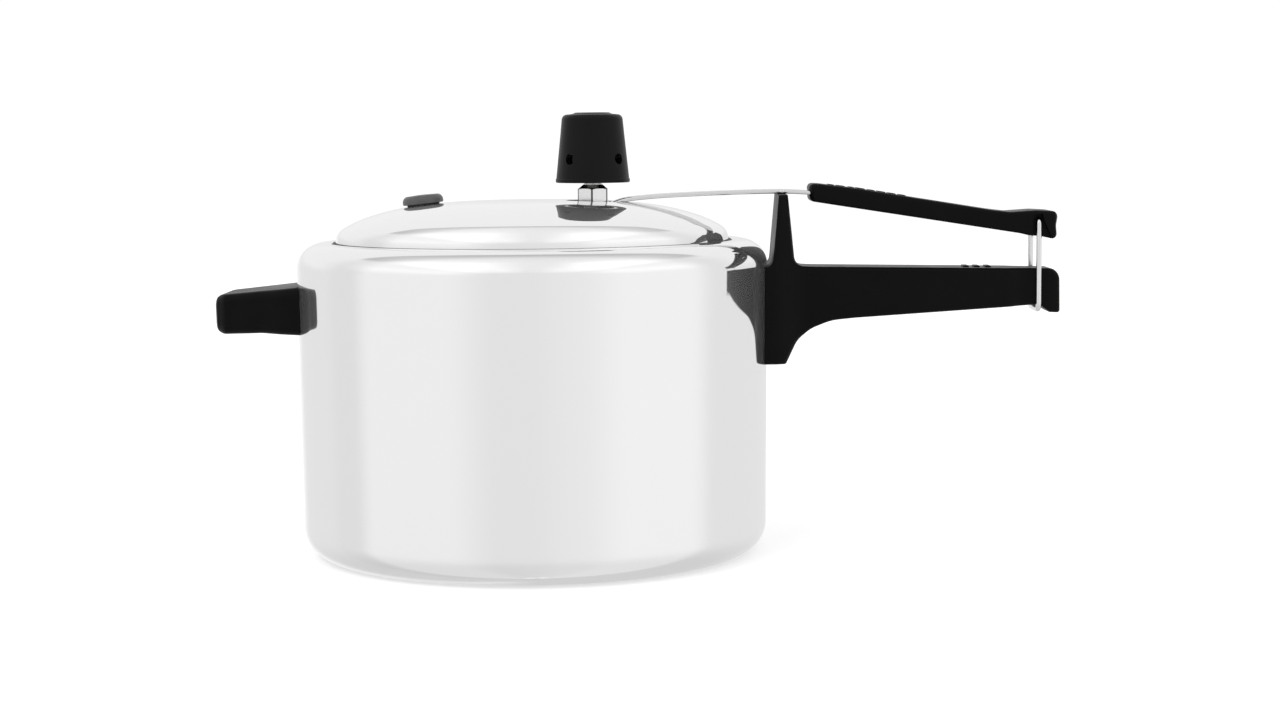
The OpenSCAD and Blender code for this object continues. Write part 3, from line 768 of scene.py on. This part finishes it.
def build_long_handle():
    outline = rounded(LONG_HANDLE, 8)
    cuts = [98 + 1.5 * k for k in range(22)] + [140 + 12 * k for k in range(6)]
    cuts += [208 + 1.2 * k for k in range(9)] + [222, 225, 228, 230, 231.5]
    handle = plate("long_handle_body", outline, LONG_HANDLE_WIDTH, 2.0, cuts, 7)
    screw_hole = rod(SCREW_HOLE_R, (142, 0, 95), (142, 0, 107), 48)
    boolean(handle, [pot_cutter(), screw_hole])
    soften(handle, 0.3, 50)
    stand_for(handle, "pot", "black_phenolic", "long_handle")
    marks = [rib(x, 124.92 - (x - 188) * 0.0166, 4.2, 2.4, 0.6, 0.5) for x in (191.6, 196.4, 201.4)]
    for k, mark in enumerate(marks):
        mark.name = f"long_handle_mark_{k + 1}"
        stand_for(mark, "pot", "black_phenolic")


def rib(x, z, half_y, length, height, round_r, slope=-1.0):
    """A small raised rib across the top of a handle, its length along X, following a slope in degrees."""
    outline = rounded([
        (-length / 2 - 0.15, -0.6, 0), (length / 2 + 0.15, -0.6, 0), (length / 2, height, round_r * 0.6),
        (-length / 2, height, round_r * 0.6),
    ], 4)
    obj = plate("rib", outline, [(-5, half_y), (5, half_y)], 0.3, [])
    turn = Matrix.Rotation(math.radians(-slope), 4, "Y")
    obj.data.transform(Matrix.Translation((x * MM, 0, z * MM)) @ turn)
    return obj


HELPER = [
    (-94, 98.6, 0), (-94, 120.3, 0), (-139.5, 116.0, 5.2), (-138.9, 98.8, 4.8), (-118, 99.5, 40),
    (-101, 98.6, 8),
]
HELPER_WIDTH = [(-139.5, 13.5), (-137.5, 17.4), (-133, 20.2), (-120, 22.8), (-106, 26.5), (-94, 27)]


def build_helper_handle():
    outline = rounded(HELPER, 8)
    cuts = [-138.8 + 0.8 * k for k in range(9)] + [-130 + 3 * k for k in range(10)]
    handle = plate("helper_handle_body", outline, HELPER_WIDTH, 4.0, cuts, 7)
    screw_hole = rod(SCREW_HOLE_R, (-122, 0, 94), (-122, 0, 105), 48)
    boolean(handle, [pot_cutter(), screw_hole])
    soften(handle, 0.3, 50)
    stand_for(handle, "pot", "black_phenolic", "helper_handle")


GRIP = [
    (122.4, 154.5, 2.2), (126.6, 153.8, 8), (161.6, 148.2, 60), (214.3, 139.7, 20), (218, 138.8, 4),
    (223.6, 138.3, 3), (231.0, 136.6, 2.1), (230.3, 143.0, 4), (231.6, 149.2, 3.0), (221.2, 149.8, 12),
    (210, 149.1, 12), (202, 150.1, 16), (161.6, 156.8, 60), (144.1, 159.8, 40), (126.6, 162.1, 10),
    (121.9, 162.3, 2.2),
]
GRIP_WIDTH = [(121.4, 8.6), (124.4, 10.6), (150, 12.6), (224, 12.6), (229.4, 11.8), (231.6, 10.4)]
# The line of the grip's top surface that the ribs stand on, then each rib's place and length
GRIP_TOP = [(126.6, 162.0), (144.1, 159.7), (161.6, 156.75), (202, 150.1)]
GRIP_RIBS = [
    (132.0, 2.6), (136.2, 3.4), (141.0, 2.2), (145.0, 3.6), (149.8, 2.8), (154.2, 3.4), (158.8, 3.2),
    (163.4, 2.8),
]


def pocket_cutters():
    """The recess on each side of the grip's tail that a leg of the bail swings in."""
    pocket = [
        (BAIL_X - 3.2, 128), (BAIL_X - 3.0, BAIL_TOP), (BAIL_X - 2.0, BAIL_TOP + 2.4),
        (BAIL_X + 1.4, BAIL_TOP + 2.6), (BAIL_X + 2.0, BAIL_TOP), (BAIL_X + 10.0, 128),
    ]
    tools = []
    for side in (-1, 1):
        bm = bmesh.new()
        near = [bm.verts.new((x, side * 9.7, z)) for x, z in pocket]
        far = [bm.verts.new((x, side * 20.0, z)) for x, z in pocket]
        bm.faces.new(near)
        bm.faces.new(list(reversed(far)))
        for i in range(len(pocket)):
            j = (i + 1) % len(pocket)
            bm.faces.new((near[i], far[i], far[j], near[j]))
        tools.append(make_object("cutter", bm))
    return tools


def strap_slot_cutter():
    """The slot in the grip that the strap's end sits in, a little larger than the strap."""
    half, under, over = 8.3, 0.23, 2.07
    line = [(x, z) for x, z in smooth_path(STRAP_LINE, 4) if x > 113] + [(189.1, 148.1)]
    rings = []
    for x, z in line:
        low, high = z - under, z + over
        rings.append([(x, -half, low), (x, half, low), (x, half, high), (x, -half, high)])
    return make_object("cutter", capped_rings(rings))


def build_grip():
    outline = rounded(GRIP, 6)
    cuts = [121.8 + 0.5 * k for k in range(6)] + [126 + 2.0 * k for k in range(13)]
    cuts += [160 + 10 * k for k in range(7)] + [225 + 0.8 * k for k in range(8)]
    grip = plate("grip_body", outline, GRIP_WIDTH, 2.0, cuts)
    tools = pocket_cutters()
    tools.append(rod(WIRE_R + 0.15, (BAIL_X, -14, BAIL_TOP), (BAIL_X, 14, BAIL_TOP), 32))
    for x in GRIP_SCREWS:
        low = 156.5 - (x - 132) * 8.2 / 56 - 1.2
        tools.append(rod(SCREW_HOLE_R, (x, 0, low - 12), (x, 0, low), 48))
    tools.append(strap_slot_cutter())
    boolean(grip, tools)
    soften(grip, 0.25, 50)
    stand_for(grip, "lid_handle", "black_phenolic", "lid_handle_grip")
    for k, (x, length) in enumerate(GRIP_RIBS):
        slope = math.degrees(math.atan2(height_at(GRIP_TOP, x + 1) - height_at(GRIP_TOP, x - 1), 2))
        mark = rib(x, height_at(GRIP_TOP, x), 4.8, length, 0.42, 0.4, slope)
        mark.name = f"grip_rib_{k + 1}"
        stand_for(mark, "lid_handle", "black_phenolic")


def build_bail():
    bend_top, bend_low = 1.9, 3.0
    pin = 4.3
    half = [(BAIL_HALF - bend_top - pin + 0.5 * k, BAIL_TOP) for k in range(9)]
    half += arc(BAIL_HALF - bend_top, BAIL_TOP - bend_top, bend_top, 90, 0, 10)
    leg_top, leg_low = BAIL_TOP - bend_top, BAIL_LOW + bend_low
    half += [(BAIL_HALF, leg_top + (leg_low - leg_top) * k / 12) for k in range(1, 12)]
    half += arc(BAIL_HALF - bend_low, BAIL_LOW + bend_low, bend_low, 0, -90, 10)
    half += [(BAIL_HALF - bend_low - 2 * k, BAIL_LOW) for k in range(1, 4)]
    path = [(BAIL_X, y, z) for y, z in half] + [(BAIL_X, -y, z) for y, z in reversed(half)]
    bail = sweep("bail_loop", path, WIRE_R, 32)
    stand_for(bail, "bail", "bail_steel", "bail_wire")


# ---------------------------------------------------------------- valve, weight and nut

def build_weight():
    cavity_r = CORE_R + 0.1
    foot_r, foot_z = 16.1, 165.4
    neck_r, neck_z = 13.5, 190.6
    # up the inside, round the foot bead, up the tapered side, over the shoulder and in to the middle
    outline = [(0, 176.3), (10.9, 176.3), (cavity_r, 176.1), (cavity_r, 166.0), (12.4, 165.6)]
    outline += [(12.4, 164.0), (12.6, 163.5), (12.9, 163.4), (15.8, 163.4)]
    outline += arc(15.85, 163.95, 0.55, -90, 0, 5)
    outline += [(16.38, 164.9), (16.3, 165.1), (16.12, 165.2), (foot_r, foot_z)]
    for t in (0.2, 0.4, 0.6, 0.8):
        outline.append((foot_r + (neck_r - foot_r) * t, foot_z + (neck_z - foot_z) * t))
    outline += arc(11.0, 190.9, 2.5, 6, 74, 10)
    outline += [(9.6, 193.5), (8.6, 193.68), (8.2, 193.8), (7.8, 194.08)]
    outline += [(7.2, 194.2), (4, 194.2), (0, 194.2)]
    cover = turned("weight_cover", outline, 160, (STEM_X, 0))
    tools = []
    for k in range(4):
        a = math.radians(HOLE_TURN + 90 * k)
        d = Vector((math.cos(a), math.sin(a), 0))
        axis = Vector((STEM_X, 0, HOLE_Z))
        tools.append(rod(HOLE_R, axis + d * 8, axis + d * 20, 40))
    boolean(cover, tools)
    soften(cover, 0.2, 50)
    stand_for(cover, "regulator_weight", "weight_phenolic", "regulator_cover")


def build_nut():
    corner = NUT_FLATS / 2 / math.cos(math.radians(30))
    low, high = 155.1, 160.8
    turns = [math.radians(NUT_TURN + 60 * k) for k in range(6)]
    outline = rounded([(corner * math.cos(a), corner * math.sin(a), 0.85) for a in turns], 4)
    rings = [[(STEM_X + x, y, z) for x, y in outline] for z in (low, high)]
    nut = make_object("nut", capped_rings(rings))
    chamfer = turned("cutter", [
        (0, low - 0.01), (corner - 0.75, low - 0.01), (corner + 0.05, low + 0.45),
        (corner + 0.05, high - 0.5), (corner - 0.85, high + 0.01), (0, high + 0.01),
    ], 96, (STEM_X, 0))
    boolean(nut, [chamfer], "INTERSECT")
    boolean(nut, [rod(4.0, (STEM_X, 0, low - 2), (STEM_X, 0, high + 2), 64)])
    stand_for(nut, "lid", "nut_steel", "stem_nut")
    nut.data.materials.append(MATERIALS["nut_edge_painted_shade"])
    # the rounded corners and chamfers, which face neither a flat nor straight up or down, get a dark steel:
    # painted shade that draws dark lines along the nut's edges
    flats = [Vector((math.cos(a + math.pi / 6), math.sin(a + math.pi / 6), 0)) for a in turns]
    for poly in nut.data.polygons:
        if max(poly.normal.dot(flat) for flat in flats) < 0.995 and abs(poly.normal.z) < 0.97:
            poly.material_index = 1
    soften(nut, 0.06, 25)


def build_safety_valve():
    radius, tilt = 9.0, math.radians(-6)
    # the button inside the lid, the neck through it, then the cap's rim and its domed top
    cap = [(0, -5.3), (5.4, -5.3), (5.9, -5.1), (6.9, -3.9), (7.0, -3.2), (6.9, -2.5), (6.2, -2.36)]
    cap += [(5.0, -2.36), (4.95, -1.0), (4.95, 0.05), (7.1, 0.1), (7.2, 0.95), (radius - 1.0, 0.95)]
    cap += arc(radius - 0.6, 1.55, 0.6, -90, 10, 5)
    cap += arc(radius - 2.7, 2.15, 2.68, 8, 72, 9)
    cap += [(4, 4.86), (2, 4.96), (0, 4.98)]
    plug = turned("safety_valve", cap, 96)
    place = Vector((-0.048, 0, 0.15375))
    plug.data.transform(Matrix.Translation(place) @ Matrix.Rotation(tilt, 4, "Y"))
    stand_for(plug, "lid", "valve_rubber", "safety_valve_plug")


KEPT = {
    "long_handle_bracket": "bracket_steel",
    "long_handle_rivets": "rivet_aluminium",
    "long_handle_screw": "screw_steel",
    "helper_handle_bracket": "bracket_steel",
    "helper_handle_rivets": "rivet_aluminium",
    "helper_handle_screw": "screw_steel",
    "valve_stem": "stem_metal",
    "stem_seal": "gasket_rubber",
    "stem_washer": "screw_steel",
    "stem_collar": "stem_metal",
    "regulator_needle": "needle_steel",
    "regulator_core": "core_steel",
    "regulator_retaining_ring": "nut_steel",
    "grip_screws": "screw_steel",
}


def finish_cad_nodes():
    for node, slot in KEPT.items():
        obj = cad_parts[node]
        paint(obj, slot)
        soften(obj, 0.12, 30)


# ---------------------------------------------------------------- studio and camera

def band(nodes, links, value, low, high, soft_low, soft_high):
    """1 where low < value < high, with a soft edge at each end."""
    parts = []
    for edge, soft in ((low, soft_low), (high, -soft_high)):
        node = nodes.new("ShaderNodeMapRange")
        node.interpolation_type = "SMOOTHSTEP"
        node.inputs["From Min"].default_value = edge - soft
        node.inputs["From Max"].default_value = edge + soft
        links.new(value, node.inputs["Value"])
        parts.append(node.outputs["Result"])
    return math_node(nodes, links, "MULTIPLY", *parts)


def math_node(nodes, links, operation, a, b=None):
    node = nodes.new("ShaderNodeMath")
    node.operation = operation
    for socket, value in zip(node.inputs, (a, b)):
        if value is None:
            continue
        if isinstance(value, (int, float)):
            socket.default_value = value
        else:
            links.new(value, socket)
    return node.outputs["Value"]


# Level of the grey room in the reflections
ROOM = 0.82

# Lighter and darker walls of the room: azimuth from the camera's side, positive to the right, and elevation,
# in degrees, each as low, high, soft low, soft high; then how much lighter or darker than the room
WALLS = [
    ((-88, -28, 6, 14), (-100, 30, 1, 12), 0.10),
    ((12, 94, 14, 9), (-100, 30, 1, 12), 0.05),
    ((36, 92, 14, 9), (-100, 30, 1, 12), 0.09),
    ((-112, -92, 6, 5), (-100, 30, 1, 12), -0.035),
    ((-98, -30, 14, 14), (18, 62, 10, 12), 0.17),
    ((32, 92, 14, 14), (18, 62, 10, 12), 0.17),
    ((-171, -156, 8, 8), (-70, 3, 6, 3), 0.16),
    ((-200, -118, 1, 14), (6, 62, 5, 8), 0.10),
    ((118, 200, 14, 1), (6, 62, 5, 8), 0.10),
    ((-200, -5, 1, 40), (-100, -26, 1, 20), -0.15),
    ((15, 200, 40, 1), (-100, -26, 1, 20), -0.15),
]

# Softboxes overhead and the dark edge behind them: place across and towards the back for a unit of height
BOXES = [
    ((-1.0, -0.2, 0.20, 0.22), (-1.9, -0.05, 0.90, 0.40), 0.24),
    ((-0.3, 0.35, 0.22, 0.22), (-1.9, -0.05, 0.90, 0.40), 0.08),
    ((0.3, 0.95, 0.22, 0.20), (-1.9, -0.05, 0.90, 0.40), 0.24),
    ((-1.0, 0.9, 0.12, 0.15), (0.29, 0.60, 0.29, 0.05), -0.36),
]


def build_world():
    """A grey room with soft boxes overhead for the reflections, and a white background for the camera."""
    world = bpy.data.worlds.new("studio")
    bpy.context.scene.world = world
    world.use_nodes = True
    nodes, links = world.node_tree.nodes, world.node_tree.links
    nodes.clear()
    coords = nodes.new("ShaderNodeTexCoord")
    split = nodes.new("ShaderNodeSeparateXYZ")
    links.new(coords.outputs["Generated"], split.inputs["Vector"])
    x, y, z = (split.outputs[k] for k in "XYZ")
    toward = math_node(nodes, links, "MULTIPLY", y, -1.0)
    turn = math_node(nodes, links, "ARCTAN2", x, toward)
    azimuth = math_node(nodes, links, "MULTIPLY", turn, 180 / math.pi)
    rise = math_node(nodes, links, "ARCSINE", z)
    elevation = math_node(nodes, links, "MULTIPLY", rise, 180 / math.pi)
    height = math_node(nodes, links, "MAXIMUM", z, 0.05)
    across = math_node(nodes, links, "DIVIDE", x, height)
    back = math_node(nodes, links, "DIVIDE", y, height)
    level = None
    for first, second, table in ((azimuth, elevation, WALLS), (across, back, BOXES)):
        for limits_a, limits_b, gain in table:
            mask = math_node(nodes, links, "MULTIPLY", band(nodes, links, first, *limits_a),
                             band(nodes, links, second, *limits_b))
            part = math_node(nodes, links, "MULTIPLY", mask, gain)
            level = math_node(nodes, links, "ADD", part, ROOM if level is None else level)
    path = nodes.new("ShaderNodeLightPath")
    room = nodes.new("ShaderNodeBackground")
    paper = nodes.new("ShaderNodeBackground")
    mix = nodes.new("ShaderNodeMixShader")
    out = nodes.new("ShaderNodeOutputWorld")
    room.inputs["Color"].default_value = (1, 1, 1, 1)
    paper.inputs["Color"].default_value = (1, 1, 1, 1)
    paper.inputs["Strength"].default_value = 1.05
    links.new(level, room.inputs["Strength"])
    links.new(path.outputs["Is Camera Ray"], mix.inputs["Fac"])
    links.new(room.outputs["Background"], mix.inputs[1])
    links.new(paper.outputs["Background"], mix.inputs[2])
    links.new(mix.outputs["Shader"], out.inputs["Surface"])


def build_floor():
    bm = bmesh.new()
    half = 3000
    below = -0.05
    places = ((-half, -half), (half, -half), (half, half), (-half, half))
    bm.faces.new([bm.verts.new((x, y, below)) for x, y in places])
    floor = make_object("floor", bm)
    mat, nodes, links, shader = new_material("floor_paper")
    shader.inputs["Roughness"].default_value = 0.9
    grain = noise(nodes, links, stretched(nodes, links, (1, 1, 1)), 40, 3.0, 0.5)
    links.new(tint(nodes, links, grain, (0.93, 0.93, 0.93), (0.95, 0.95, 0.95)), shader.inputs["Base Color"])
    shader.inputs["Emission Color"].default_value = (1, 1, 1, 1)
    shader.inputs["Emission Strength"].default_value = 0.31
    floor.data.materials.append(mat)
    floor.visible_glossy = False


def build_lights():
    data = bpy.data.lights.new("key", "AREA")
    data.shape = "RECTANGLE"
    data.size, data.size_y = 1.2, 0.9
    data.energy = 4
    key = bpy.data.objects.new("key", data)
    bpy.context.scene.collection.objects.link(key)
    key.visible_glossy = False
    key.location = (-0.9, -1.0, 1.5)
    key.rotation_euler = (Vector((0, 0, 0.1)) - key.location).to_track_quat("-Z", "Y").to_euler()


def build_camera():
    data = bpy.data.cameras.new("camera")
    data.sensor_width = 36.0
    data.lens = 68.14
    camera = bpy.data.objects.new("camera", data)
    bpy.context.scene.collection.objects.link(camera)
    pitch, roll = 0.0947, 0.0091
    turn = Matrix.Rotation(math.pi / 2 - pitch, 4, "X") @ Matrix.Rotation(-roll, 4, "Z")
    camera.matrix_world = Matrix.Translation((0.04714, -1.07382, 0.18635)) @ turn
    bpy.context.scene.camera = camera
    bpy.context.scene.view_settings.view_transform = "Standard"
    bpy.context.scene.view_settings.look = "None"


build_camera()
build_world()
build_floor()
build_lights()
build_pot()
build_lid()
build_gasket()
build_strap()
build_long_handle()
build_helper_handle()
build_grip()
build_bail()
build_weight()
build_nut()
build_safety_valve()
finish_cad_nodes()
